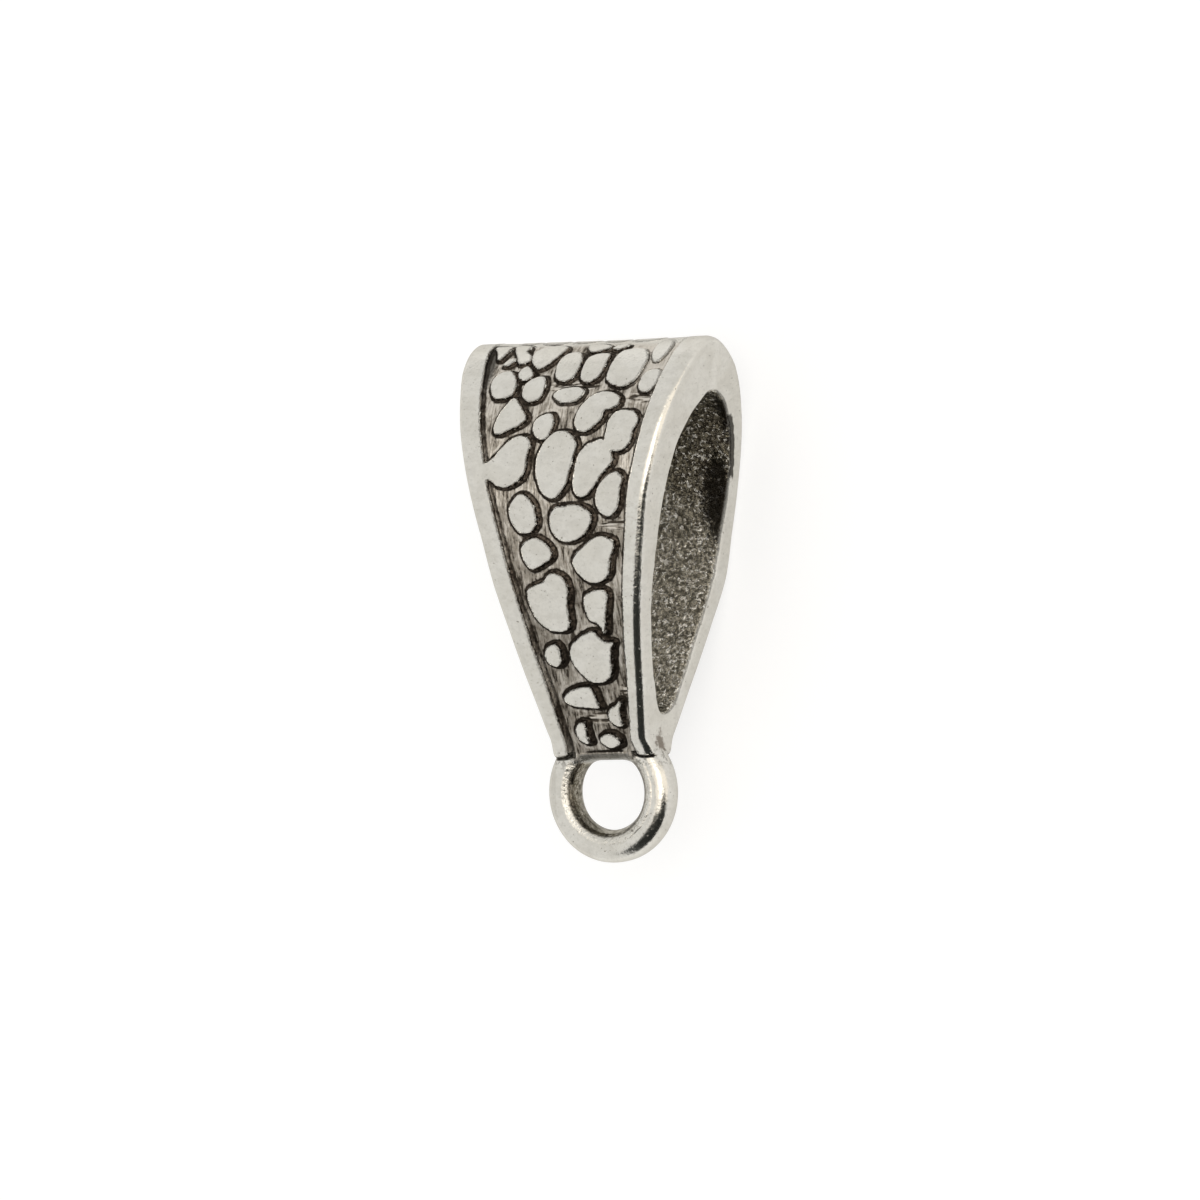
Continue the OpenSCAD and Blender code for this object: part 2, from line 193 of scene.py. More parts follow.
# Rounding radii and the cast surface's small forms, in millimetres
EDGE_R = 0.31        # outer edges of the rims
MOUTH_R = 0.16       # edges of the tunnel
MOUTH_BACK_R = 0.15  # how much rounder they are low on the back leg
TOP_R = 0.05         # upper edges of pebbles and panel
FLOOR_R = 0.06       # fillet at the panel's floor
FOOT_END_R = 0.16    # lower ends of the legs
RING_EDGE_R = 0.54   # outer edges of the ring
RING_TOP_R = 0.08    # edge where the ring ends between the rims
RING_BLEND = 0.08    # fillet where the ring leaves the legs
CROWN_SAG = 0.05     # how far the crown dips between its rims
CROWN_EDGE_R = 0.28  # how much rounder the rims' outer edges get at the crown
RIM_END_R = 0.24     # lower ends of the rims, as seen from the front
SLACK_LOW, SLACK_HIGH = 0.30, 1.25   # where along the crown the relief starts, and is whole
SLACK = 0.10         # share of the relief's depth that is left at the very top
WORN_SHARE = 0.35    # share of it that is lost where the relief is worn
RELIEF_HIGH, RELIEF_LOW = 0.15, 0.21   # the relief's depth on the upper leg and at its foot
WARP_LOW, WARP_HIGH = 4.05, 4.85     # heights between which the foot is drawn in
DRAW_IN, DRAW_OUT = 0.20, 0.115      # how much thinner, and wider, the foot gets
EYE_R, EYE_FLARE = 1.40, 0.30        # the hole at its middle, and how much it opens
EYE_TOP = 3.93       # height of the hole's flat top
EYE_CORNER_R = 0.15  # corners where that top meets the round
EYE_EDGE_R = 0.29    # edges of the hole
LIP_R = 0.08         # how much rounder they are along the hole's flat top
WOBBLE = (0.022, 0.02, 0.012)   # how far a pebble's edge strays, in waves of three lengths
DRAFT = 0.22         # how far a pebble's wall widens for its depth
LEAN_OUT = 0.60      # how much further it widens on the side towards +X, seen from the front
ARCH_DROP = 0.12     # how much lower the tunnel's top lies than in the solid
CELL, QUICK_CELL = 0.060, 0.09       # spacing of the grid that the surface is taken from
SPACE_LOW, SPACE_HIGH = (-5.4, -3.9, -0.2), (5.4, 4.1, 20.3)   # corners of that grid
SIDE_STEP, RELIEF_STEP, RING_STEP = 0.04, 0.025, 0.03   # spacing of the flat charts
SLOPE_STEP = 0.012   # how far apart the field is read for its slope
MOVE_MOST = 0.05     # how far a point moves in one round towards the surface
MAX_TRIANGLES = 192000


# Curves
def between(p0, p1, p2, p3, steps):
    t = (np.arange(steps) / steps)[:, None]
    return (2 * p1 + (p2 - p0) * t + (2 * p0 - 5 * p1 + 4 * p2 - p3) * t ** 2
            + (3 * p1 - p0 - 3 * p2 + p3) * t ** 3) / 2


def open_curve(points, steps):
    """A smooth curve whose first point lies on the mirror line of its first number."""
    p = np.array(points, float)
    first = p[1] * [-1, 1]
    after = 2 * p[-1] - p[-2]
    q = np.vstack([first, p, after])
    parts = [between(q[i], q[i + 1], q[i + 2], q[i + 3], steps) for i in range(len(p) - 1)]
    return np.vstack(parts + [p[-1:]])


def closed_curve(points, steps):
    p = np.array(points, float)
    n = len(p)
    return np.vstack([between(p[i - 1], p[i], p[(i + 1) % n], p[(i + 2) % n], steps) for i in range(n)])


def leg(front, steps):
    """Outside of one leg from crown to foot, as rows of depth and height."""
    return open_curve([(-a * FRONT_DEPTH if front else b * BACK_DEPTH, FOOT_Z + h * BODY_H)
                       for h, a, b in LEG], steps)


def runs(p):
    """How far along a line of points each of them lies."""
    return np.concatenate([[0], np.cumsum(np.hypot(*np.diff(p, axis=0).T))])


def distance_to(points, polygon, closed=True):
    """Distance from points to a polygon's sides, minus inside it, and the run along it there."""
    a = polygon
    b = np.roll(polygon, -1, axis=0)
    start = np.concatenate([[0], np.cumsum(np.hypot(*(b - a).T))])[:-1]
    if not closed:
        a, b, start = a[:-1], b[:-1], start[:-1]
    length2 = ((b - a) ** 2).sum(1)
    best = np.full(len(points), 1e9)
    run = np.zeros(len(points))
    inside = np.zeros(len(points), bool)
    for k in range(len(a)):
        if length2[k] < 1e-16:
            continue
        step = b[k] - a[k]
        to = points - a[k]
        t = np.clip((to @ step) / length2[k], 0, 1)
        away = ((to - t[:, None] * step) ** 2).sum(1)
        near = away < best
        best[near] = away[near]
        run[near] = (start[k] + t * math.sqrt(length2[k]))[near]
        if closed:
            crosses = (a[k, 1] > points[:, 1]) != (b[k, 1] > points[:, 1])
            if step[1] != 0:
                at = a[k, 0] + (points[:, 1] - a[k, 1]) / step[1] * step[0]
                inside ^= crosses & (points[:, 0] < at)
    best = np.sqrt(best)
    return np.where(inside, -best, best), run


class Chart:
    """Numbers on a regular grid over a rectangle, read off in between."""

    def __init__(self, low, high, step, values):
        self.low = low
        self.step = step
        self.size = [int(math.ceil((high[k] - low[k]) / step)) + 1 for k in range(2)]
        u = low[0] + step * np.arange(self.size[0])
        v = low[1] + step * np.arange(self.size[1])
        points = np.stack(np.meshgrid(u, v, indexing="ij"), -1).reshape(-1, 2)
        self.layers = [np.asarray(layer, np.float32).reshape(self.size) for layer in values(points)]

    def read(self, u, v):
        a = np.clip((u - self.low[0]) / self.step, 0, self.size[0] - 1.001)
        b = np.clip((v - self.low[1]) / self.step, 0, self.size[1] - 1.001)
        i = a.astype(np.int32)
        j = b.astype(np.int32)
        a = (a - i).astype(np.float32)
        b = (b - j).astype(np.float32)
        return [(layer[i, j] * (1 - a) + layer[i + 1, j] * a) * (1 - b)
                + (layer[i, j + 1] * (1 - a) + layer[i + 1, j + 1] * a) * b for layer in self.layers]


def smooth_step(value, low, high):
    t = np.clip((value - low) / (high - low), 0, 1)
    return t * t * (3 - 2 * t)


# Soft joins of two distances, each with a radius
def meet(a, b, r):
    """Where both are inside, with the edge rounded."""
    return np.minimum(np.maximum(a, b), -r) + np.hypot(np.maximum(a + r, 0), np.maximum(b + r, 0))


def join(a, b, r):
    """Where either is inside, with the corner filled."""
    return np.maximum(np.minimum(a, b), r) - np.hypot(np.maximum(r - a, 0), np.maximum(r - b, 0))


class Noise:
    """Smooth noise from -1 to 1 on a lattice of the given spacing."""

    def __init__(self, seed, spacing):
        self.lattice = np.random.default_rng(seed).uniform(-1, 1, (32, 32, 32)).astype(np.float32)
        self.spacing = spacing

    def __call__(self, x, y, z):
        out = 0
        cells = [np.floor(c / self.spacing) for c in (x, y, z)]
        part = [(c / self.spacing - f).astype(np.float32) for c, f in zip((x, y, z), cells)]
        part = [p * p * (3 - 2 * p) for p in part]
        i, j, k = [f.astype(np.int32) & 31 for f in cells]
        for a in (0, 1):
            wa = part[0] if a else 1 - part[0]
            for b in (0, 1):
                wb = part[1] if b else 1 - part[1]
                for c in (0, 1):
                    wc = part[2] if c else 1 - part[2]
                    out = out + wa * wb * wc * self.lattice[(i + a) & 31, (j + b) & 31, (k + c) & 31]
        return out


# Flat charts of the bail's profiles and of its relief
FRONT_LEG = leg(True, 8)
BACK_LEG = leg(False, 8)
FRONT_RUN = runs(FRONT_LEG)[-1]
BACK_RUN = runs(BACK_LEG)[-1]
OUTSIDE = np.vstack([FRONT_LEG[::-1], BACK_LEG[1:]])


def past_end(p, d):
    step = p[-1] - p[-2]
    return p[-1] + d * step / np.hypot(*step)


OUTSIDE_PAST = np.vstack([past_end(FRONT_LEG, 1.5), OUTSIDE, past_end(BACK_LEG, 1.5)])


def outside_layers(points):
    """Distance to the outside of the legs, run on past their ends, and the run down from the crown."""
    signed, _ = distance_to(points, OUTSIDE_PAST)
    _, run = distance_to(points, OUTSIDE, closed=False)
    return signed, FRONT_RUN - run


SIDE_LOW, SIDE_HIGH = (-FRONT_DEPTH - 0.5, -0.4), (BACK_DEPTH + 0.5, HEIGHT + 0.5)
outside_chart = Chart(SIDE_LOW, SIDE_HIGH, SIDE_STEP, outside_layers)
tunnel_points = closed_curve([(d * (TUNNEL_FRONT if d < 0 else TUNNEL_BACK), TUNNEL_Z + h * TUNNEL_H)
                              for h, d in TUNNEL], 6)
tunnel_chart = Chart(SIDE_LOW, SIDE_HIGH, SIDE_STEP, lambda p: [distance_to(p, tunnel_points)[0]])


def body_half(share):
    """Half width of the body at a share of BODY_H."""
    way = np.interp(share, [row[0] for row in TAPER], [row[1] for row in TAPER])
    return FOOT_W / 2 + (CROWN_W - FOOT_W) / 2 * way


def panel_half(share):
    return body_half(share) - (RIM_FOOT + (RIM_CROWN - RIM_FOOT) * np.clip(share, 0, 1))


def pebble_outline(points, leg_points, run):
    """A pebble's outline on the unrolled leg, in x and run down from the crown."""
    rows = []
    for across, along in points:
        t = along * run[-1]
        z = np.interp(abs(t), run, leg_points[:, 1])
        rows.append((across * panel_half((z - FOOT_Z) / BODY_H), t))
    return closed_curve(rows, 5)


def lay_pebbles(points, pebbles, leg_points, wobble):
    """Distance to the nearest pebble on the unrolled leg, where points are x and run down from the crown."""
    run = runs(leg_points)
    best = np.full(len(points), 1.5)
    x = points[:, 0] + wobble[0]
    t = points[:, 1] + wobble[1]
    for pebble in pebbles:
        outline = pebble_outline(pebble, leg_points, run)
        low, high = outline.min(0) - 0.6, outline.max(0) + 0.6
        near = np.nonzero((x > low[0]) & (x < high[0]) & (t > low[1]) & (t < high[1]))[0]
        if len(near):
            away, _ = distance_to(np.stack([x[near], t[near]], -1), outline)
            best[near] = np.minimum(best[near], away)
    return best


def marked(x, t, run):
    """Where the floor's tool marks run across the leg: 1 inside a patch and 0 well outside."""
    most = np.zeros_like(x)
    for across, along, wide, long in CROSS_MARKS:
        u = (x / PANEL_CROWN - across) / wide
        v = (t / run - along) / long
        most = np.maximum(most, 1 - smooth_step(u * u + v * v, 0.5, 1.3))
    return most


edge_noise = [Noise(seed, spacing) for seed, spacing in (
    (11, 0.75), (12, 0.75), (13, 0.26), (14, 0.26), (15, 0.12), (16, 0.12))]


def relief_layers(points):
    """Distance to the nearest pebble over the crown: points are x and run, plus down the front."""
    x, t = points.T
    flat = np.zeros_like(x)
    big, middling, small = WOBBLE
    wobble = [big * edge_noise[k](x, t, flat + 3.3) + middling * edge_noise[k + 2](x, t, flat + 1.7)
              + small * edge_noise[k + 4](x, t, flat + 0.9) for k in (0, 1)]
    front = lay_pebbles(points, PEBBLES + CROWN_PEBBLES, FRONT_LEG, wobble)
    back = lay_pebbles(-points, PEBBLES, BACK_LEG, [-w for w in wobble])
    return [np.minimum(front, back)]


relief_chart = Chart((-CROWN_W / 2 - 0.1, -BACK_RUN - 0.3), (CROWN_W / 2 + 0.1, FRONT_RUN + 0.3),
                     RELIEF_STEP, relief_layers)


def bore_layers(points):
    """Distance to the ring's disc and to its hole, where points are radius and depth."""
    half = RING_T / 2
    turn = np.linspace(0, math.pi / 2, 12)
    back = np.stack([RING_R - RING_EDGE_R + RING_EDGE_R * np.cos(turn),
                     half - RING_EDGE_R + RING_EDGE_R * np.sin(turn)], -1)
    disc = np.vstack([[(-3, -half)], (back * [1, -1])[::-1], back, [(-3, half)]])
    far = BACK_DEPTH + 3
    wide = EYE_R + EYE_FLARE
    hole = np.array([(-3, -far), (wide, -far), (wide, -half), (EYE_R + 0.05, -0.1), (EYE_R + 0.05, 0.1),
                     (wide, half), (wide, far), (-3, far)])
    return distance_to(points, disc)[0], distance_to(points, hole)[0]


ring_chart = Chart((0, -BACK_DEPTH - 0.6), (HEIGHT, BACK_DEPTH + 0.6), RING_STEP, bore_layers)

rim_noise = [Noise(21, 0.9), Noise(22, 0.3)]
wave = Noise(31, 1.6)
rough = Noise(33, 0.42)


def field(x, d, z, detail=True):
    """Distance to the bail's surface, minus in the metal, and what the finish depends on."""
    drawn = 1 - smooth_step(z, WARP_LOW, WARP_HIGH)
    far = d * (1 + DRAW_IN * drawn)
    off = x / (1 + DRAW_OUT * drawn)
    out, run = outside_chart.read(far, z)
    tunnel, = tunnel_chart.read(d, z + ARCH_DROP * smooth_step(z, 14.5, 17.3))
    pebble, = relief_chart.read(off, run)
    share = (z - FOOT_Z) / BODY_H
    wide = np.abs(off)
    broad = np.interp(share, [row[0] for row in BROAD], [row[1] for row in BROAD])
    broad = broad * smooth_step(x * d, 0.0, 2.0)
    side = (wide - body_half(share) - broad) * 0.98
    end = FOOT_Z - z
    rim = panel_half(share) - wide
    if detail:
        rim = rim + 0.018 * rim_noise[0](x, d, z) + 0.012 * rim_noise[1](x, d, z)
    rim = meet(rim, end, RIM_END_R)
    sag = CROWN_SAG * np.clip(1 - (x / PANEL_CROWN) ** 2, 0, 1) * smooth_step(share, 0.84, 1.0)
    top = out + sag
    if detail:
        top = top + 0.012 * wave(x, d, z)
    deep = RELIEF_HIGH + (RELIEF_LOW - RELIEF_HIGH) * smooth_step(np.abs(run) / FRONT_RUN, 0.35, 0.95)
    sunk = deep * (SLACK + (1 - SLACK) * smooth_step(np.abs(run), SLACK_LOW, SLACK_HIGH))
    sunk = sunk * (1 - WORN_SHARE * wear(x, run))
    # Walls that face +X over the front leg, and the other way over the back, slope more
    facing = np.clip(run / 0.6, -1, 1)
    leant = LEAN_OUT * np.clip(-top, 0, sunk)
    pebble = np.minimum(pebble, relief_chart.read(off - leant * facing, run)[0])
    beside = np.minimum(pebble, rim - leant * (off * facing < 0))
    wall = (beside + DRAFT * np.clip(top, -RECESS, 0)) / math.hypot(1, DRAFT)
    body = join(meet(wall, top, TOP_R), top + sunk, FLOOR_R)
    crown_edge = CROWN_EDGE_R * smooth_step(share, 0.86, 0.99) * smooth_step(x, -1.5, 1.5)
    body = meet(body, side, EDGE_R + crown_edge)
    inner = -tunnel
    if detail:
        inner = inner + 0.03 * rough(x, d, z)
    behind, low = smooth_step(d, 0.3, 1.2), 1 - smooth_step(z, 12.5, 15.5)
    body = meet(body, inner, MOUTH_R + MOUTH_BACK_R * behind * low)
    body = meet(body, end, FOOT_END_R)
    disc, hole = ring_chart.read(np.hypot(x, z - RING_Z), d)
    hole = meet(hole, z - EYE_TOP, EYE_CORNER_R)
    # Between the rims' ends the ring lies no higher than the panel's floor
    below = top + sunk - 0.6 * smooth_step(wide, 0.85, 1.30) - 6.0 * (1 - smooth_step(z, 2.4, 3.9))
    disc = meet(disc, below, RING_TOP_R)
    whole = join(body, disc, RING_BLEND)
    whole = meet(whole, -hole, EYE_EDGE_R + LIP_R * smooth_step(z, 3.55, 3.85))
    facts = dict(depth=-top, beside=beside, rim=rim, inner=inner, side=side, body=body, disc=disc,
                 hole=-hole, run=run, sunk=sunk / deep)
    return whole, facts


def wear(x, run):
    """Where the relief is worn low: 1 at the crown's right end over the front and, less, round
    one small pebble below it, and at their turned twins."""
    x = np.where(run > 0, x, -x)
    run = np.abs(run)
    spot = np.exp(-((x - 0.1) / 0.85) ** 2 - ((run - 0.195 * FRONT_RUN) / 0.45) ** 2)
    return np.maximum(smooth_step(x, 1.0, 3.4) * (1 - smooth_step(run, 2.4, 4.0)), 0.8 * spot)


def surface(low, high, cell):
    """Corners and faces of the zero surface, one point to each cell that it crosses."""
    axes = [low[k] + cell * np.arange(int(math.ceil((high[k] - low[k]) / cell)) + 2) for k in range(3)]
    shape = [len(a) for a in axes]
    values = np.empty(shape, np.float32)
    d, z = np.meshgrid(axes[1], axes[2], indexing="ij")
    for i, x in enumerate(axes[0]):
        values[i] = field(np.full_like(d, x), d, z, detail=False)[0]
    inside = values < 0
    count = np.zeros([n - 1 for n in shape], np.uint8)
    corners = [(a, b, c) for a in (0, 1) for b in (0, 1) for c in (0, 1)]
    for a, b, c in corners:
        count += inside[a:shape[0] - 1 + a, b:shape[1] - 1 + b, c:shape[2] - 1 + c]
    cells = np.argwhere((count > 0) & (count < 8))
    number = np.full(count.shape, -1, np.int32)
    number[tuple(cells.T)] = np.arange(len(cells))
    held = {c: values[tuple((cells + c).T)] for c in corners}
    total = np.zeros((len(cells), 3))
    crossed = np.zeros(len(cells))
    for c in corners:
        for axis in range(3):
            if c[axis]:
                continue
            e = tuple(v + (k == axis) for k, v in enumerate(c))
            u, v = held[c], held[e]
            hit = (u < 0) != (v < 0)
            part = u[hit] / (u[hit] - v[hit])
            at = np.tile(np.array(c, float), (hit.sum(), 1))
            at[:, axis] += part
            total[hit] += at
            crossed[hit] += 1
    points = np.array(low) + cell * (cells + total / crossed[:, None])
    faces = []
    for axis in range(3):
        u, v = [k for k in range(3) if k != axis]
        one = [slice(1, n - 1) for n in shape]
        two = list(one)
        one[axis] = slice(0, shape[axis] - 1)
        two[axis] = slice(1, shape[axis])
        a, b = inside[tuple(one)], inside[tuple(two)]
        edges = np.argwhere(a != b)
        leaves = a[tuple(edges.T)]
        base = edges + 1
        base[:, axis] -= 1
        ring = []
        for du, dv in ((1, 1), (0, 1), (0, 0), (1, 0)):
            at = base.copy()
            at[:, u] -= du
            at[:, v] -= dv
            ring.append(number[tuple(at.T)])
        quad = np.stack(ring, -1)
        turned = leaves if axis != 1 else ~leaves
        quad[~turned] = quad[~turned][:, ::-1]
        faces.append(quad)
    return points, np.vstack(faces)


def slope(points):
    """Direction of the field's steepest rise at each point."""
    out = np.empty_like(points)
    for k in range(3):
        by = np.zeros(3)
        by[k] = SLOPE_STEP
        out[:, k] = field(*(points + by).T)[0] - field(*(points - by).T)[0]
    return out / (2 * SLOPE_STEP)


def settle(points, rounds):
    """Points moved along the slope until they lie on the surface."""
    for _ in range(rounds):
        g = slope(points)
        size2 = np.maximum((g ** 2).sum(1), 0.15)
        value = field(*points.T)[0]
        move = -(value / size2)[:, None] * g
        reach = np.hypot(np.hypot(move[:, 0], move[:, 1]), move[:, 2])
        points = points + move * np.minimum(1, MOVE_MOST / np.maximum(reach, 1e-9))[:, None]
    return points


# The bail at rest on its back leg
def resting():
    """Lean in radians, then the shifts along the bail and up that put it on the floor."""
    back = leg(False, 4)
    front = leg(True, 4)
    over = np.array([0, BALANCE * HEIGHT])
    for a, b in zip(back[:-1], back[1:]):
        along = (over - a) @ (b - a) / ((b - a) @ (b - a))
        if a[0] > BACK_DEPTH / 2 and 0 <= along <= 1:
            break
    lean = math.atan2(*(a - b))
    outline = np.vstack([front, back])
    crown = (outline[:, 1] * math.cos(lean) + outline[:, 0] * math.sin(lean)).max()
    half = RING_T / 2
    edge = [(RING_R - p * half, q * half)
            for p, q in ((0, 0.42), (0.25, 0.8), (0.65, 1), (0, -0.42), (0.25, -0.8))]
    ring = min((RING_Z - r) * math.cos(lean) + q * math.sin(lean) for r, q in edge)
    return lean, -(crown + ring) / 2, -(a[1] * math.sin(lean) - a[0] * math.cos(lean))


LEAN, SHIFT_Y, SHIFT_Z = resting()


def lain(points):
    """Upright directions turned as the bail lies."""
    x, d, z = np.asarray(points, float).T
    c, s = math.cos(LEAN), math.sin(LEAN)
    return np.stack([x, z * c + d * s, z * s - d * c], -1)


def placed(points):
    """Upright millimetres as metres in the shared frame."""
    return (lain(points) + [0, SHIFT_Y, SHIFT_Z]) / 1000


# Mesh
def mesh_from(name, points, faces):
    mesh = bpy.data.meshes.new(name)
    mesh.vertices.add(len(points))
    mesh.vertices.foreach_set("co", np.asarray(points, np.float32).ravel())
    sides = faces.shape[1]
    mesh.loops.add(faces.size)
    mesh.loops.foreach_set("vertex_index", faces.astype(np.int32).ravel())
    mesh.polygons.add(len(faces))
    mesh.polygons.foreach_set("loop_start", np.arange(0, faces.size, sides, dtype=np.int32))
    mesh.update(calc_edges=True)
    mesh.validate()
    return mesh


def thinned(points, faces, limit):
    """Fewer triangles, kept where the surface turns and beside the relief's walls."""
    tris = np.vstack([faces[:, [0, 1, 2]], faces[:, [0, 2, 3]]])
    facts = field(*points.T)[1]
    held = (np.abs(facts["beside"] - 0.11) < 0.19) & (facts["rim"] > -0.2) & (facts["depth"] < 0.5)
    rough_mesh = mesh_from("rough", points, tris)
    carrier = bpy.data.objects.new("rough", rough_mesh)
    bpy.context.scene.collection.objects.link(carrier)
    free = carrier.vertex_groups.new(name="free")
    free.add(np.nonzero(~held)[0].tolist(), 1.0, "REPLACE")
    thin = carrier.modifiers.new("thin", "DECIMATE")
    thin.vertex_group = "free"
    thin.vertex_group_factor = 0.02
    thin.ratio = min(1, limit / len(tris))
    done = carrier.evaluated_get(bpy.context.evaluated_depsgraph_get()).to_mesh()
    co = np.empty(len(done.vertices) * 3, np.float32)
    done.vertices.foreach_get("co", co)
    done.calc_loop_triangles()
    index = np.empty(len(done.loop_triangles) * 3, np.int32)
    done.loop_triangles.foreach_get("vertices", index)
    carrier.evaluated_get(bpy.context.evaluated_depsgraph_get()).to_mesh_clear()
    bpy.data.objects.remove(carrier)
    bpy.data.meshes.remove(rough_mesh)
    return co.reshape(-1, 3).astype(float), index.reshape(-1, 3)


def build_bail():
    cell = CELL
    points, faces = surface(SPACE_LOW, SPACE_HIGH, cell)
    points = settle(points, 1)
    points, faces = thinned(points, faces, MAX_TRIANGLES)
    points = settle(points, 2)
    normals = slope(points)
    normals /= np.maximum(np.linalg.norm(normals, axis=1), 1e-9)[:, None]
    facts = field(*points.T)[1]
    low, high = np.array(CAD_BOX)
    mesh = mesh_from("bail_cast", np.clip(placed(points), low, high), faces)
    mesh.polygons.foreach_set("use_smooth", np.ones(len(faces), bool))
    mesh.normals_split_custom_set_from_vertices(lain(normals).astype(np.float32).tolist())

    # Numbers that the material reads at each point
    x, d, z = points.T
    kept = ("depth", "beside", "rim", "inner", "side", "body", "hole", "sunk")
    numbers = {name: facts[name] for name in kept}
    wide = np.abs(x)
    numbers["crease"] = (np.maximum(facts["body"], facts["disc"]) + smooth_step(z, 4.25, 4.45)
                         + 1 - smooth_step(wide, 1.05, 1.25))
    numbers["wear"] = wear(x, facts["run"])
    back = smooth_step(d, 0.2, 1.2)
    # Where the tunnel gets painted shade: on the back leg's inner face and in its upper corner
    shade = 1.15 * np.exp(-((wide - 3.5) / 0.85) ** 2 - ((z - 13.8) / 2.2) ** 2)
    corner = np.exp(-((wide - 4.6) / 0.55) ** 2 - ((z - 16.8) / 1.4) ** 2)
    numbers["tunnel_shade"] = np.maximum(shade, corner) * back
    numbers["high"] = smooth_step(z, 11.5, 15.0)
    turned = np.where(facts["run"] > 0, x, -x)
    run = np.abs(facts["run"])
    numbers["nook"] = (np.exp(-((turned + 4.05) / 0.55) ** 2) * smooth_step(run, 0.2, 0.7)
                       * (1 - smooth_step(run, 2.0, 4.2)))
    numbers["shiver"] = (smooth_step(z, 9.4, 10.2) * (1 - smooth_step(z, 12.5, 14.5))
                         * smooth_step(facts["side"], -0.42, -0.30))
    # Where a painted dark reflection lies: along the tunnel's mouth on the back leg, by the side face
    numbers["dark_reflection"] = (back * smooth_step(z, 14.1, 14.9) * (1 - smooth_step(z, 16.7, 17.3))
                        * smooth_step(facts["side"], -0.16, -0.06))
    low_z = z + 0.26 * smooth_step(wide, 0.95, 1.15)
    numbers["arch"] = ((1 - smooth_step(wide, 1.3, 1.5)) * smooth_step(low_z, 4.14, 4.24)
                       * (1 - smooth_step(z, 5.2, 5.4)))
    numbers["lip"] = ((1 - smooth_step(wide, 1.0, 1.3)) * smooth_step(z, 3.80, 3.90)
                      * (1 - smooth_step(z, 4.14, 4.22)))
    numbers["sill"] = (1 - smooth_step(wide, 0.8, 1.05)) * np.exp(-((z - 4.29) / 0.08) ** 2)
    numbers["bore"] = np.abs(d)
    numbers["blot"] = sum(np.exp(-((points - row[:3]) ** 2).sum(1) / row[3] ** 2) for row in BLOTS)
    front = marked(x, facts["run"], FRONT_RUN)
    back = marked(-x, -facts["run"], BACK_RUN)
    numbers["cross"] = np.where(facts["run"] > 0, front, back)
    for name, values in numbers.items():
        layer = mesh.attributes.new(name, "FLOAT", "POINT")
        layer.data.foreach_set("value", np.asarray(values, np.float32))
    sheet = mesh.attributes.new("sheet", "FLOAT_VECTOR", "POINT")
    flat = np.stack([points[:, 0], facts["run"], np.zeros(len(points))], -1)
    sheet.data.foreach_set("vector", flat.astype(np.float32).ravel())
    return mesh


# Antique silver
class Graph:
    """Makes and links the nodes of one tree."""

    def __init__(self, tree):
        self.tree = tree
        tree.nodes.clear()

    def node(self, kind, inputs=(), **settings):
        n = self.tree.nodes.new(kind)
        for key, value in settings.items():
            setattr(n, key, value)
        for key, value in dict(inputs).items():
            socket = n.inputs[key]
            if isinstance(value, bpy.types.NodeSocket):
                self.tree.links.new(value, socket)
            else:
                socket.default_value = value
        return n

    def math(self, operation, a, b=0.0):
        return self.node("ShaderNodeMath", {0: a, 1: b}, operation=operation).outputs[0]

    def plus(self, a, b):
        return self.math("ADD", a, b)

    def minus(self, a, b):
        return self.math("SUBTRACT", a, b)

    def times(self, a, b):
        return self.math("MULTIPLY", a, b)

    def swing(self, noise, share):
        """A noise about zero instead of a half, times a share."""
        return self.times(self.minus(noise, 0.5), share)

    def fall(self, value, low, high):
        """1 below the low value and 0 above the high one."""
        return self.step(value, low, high, 1.0, 0.0)

    def step(self, value, low, high, out_low=0.0, out_high=1.0):
        return self.node("ShaderNodeMapRange", {"Value": value, "From Min": low, "From Max": high,
                                                "To Min": out_low, "To Max": out_high},
                         interpolation_type="SMOOTHSTEP").outputs[0]

    def mix(self, factor, a, b):
        n = self.node("ShaderNodeMix", data_type="RGBA")
        for socket, value in zip((n.inputs[0], n.inputs[6], n.inputs[7]), (factor, a, b)):
            if isinstance(value, bpy.types.NodeSocket):
                self.tree.links.new(value, socket)
            else:
                socket.default_value = value
        return n.outputs[2]

    def blend(self, factor, a, b):
        return self.node("ShaderNodeMix", {0: factor, 2: a, 3: b}, data_type="FLOAT").outputs[0]

    def attribute(self, name, out="Fac"):
        return self.node("ShaderNodeAttribute", attribute_name=name).outputs[out]

    def scaled(self, vector, x, y, z):
        return self.node("ShaderNodeMapping", {"Vector": vector, "Scale": (x, y, z)}).outputs[0]

    def noise(self, vector, scale, detail=2.0, roughness=0.5):
        return self.node("ShaderNodeTexNoise", {"Vector": vector, "Scale": scale, "Detail": detail,
                                                "Roughness": roughness}).outputs[0]


# Colours of the finish, and of painted shade, highlights and reflections
SILVER_LOW, SILVER_HIGH = (0.652, 0.632, 0.578, 1), (0.692, 0.675, 0.626, 1)
SCUFF, FLECK = (0.46, 0.44, 0.40, 1), (0.42, 0.40, 0.355, 1)
BRIGHT_FLECK, PIT = (0.80, 0.785, 0.74, 1), (0.17, 0.15, 0.125, 1)
TAUPE_DARK, TAUPE = (0.066, 0.055, 0.043, 1), (0.350, 0.316, 0.269, 1)
TAUPE_LIGHT, UMBER_DARK = (0.63, 0.59, 0.53, 1), (0.024, 0.019, 0.014, 1)
UMBER, UMBER_FOOT = (0.165, 0.134, 0.106, 1), (0.016, 0.013, 0.010, 1)
CROWN_SHADE_GREY, SIDE_SHADE_GREY = (0.42, 0.40, 0.37, 1), (0.20, 0.18, 0.15, 1)
NOOK_SHADE_COLOUR, WALL_FOOT = (0.040, 0.037, 0.031, 1), (0.020, 0.016, 0.012, 1)
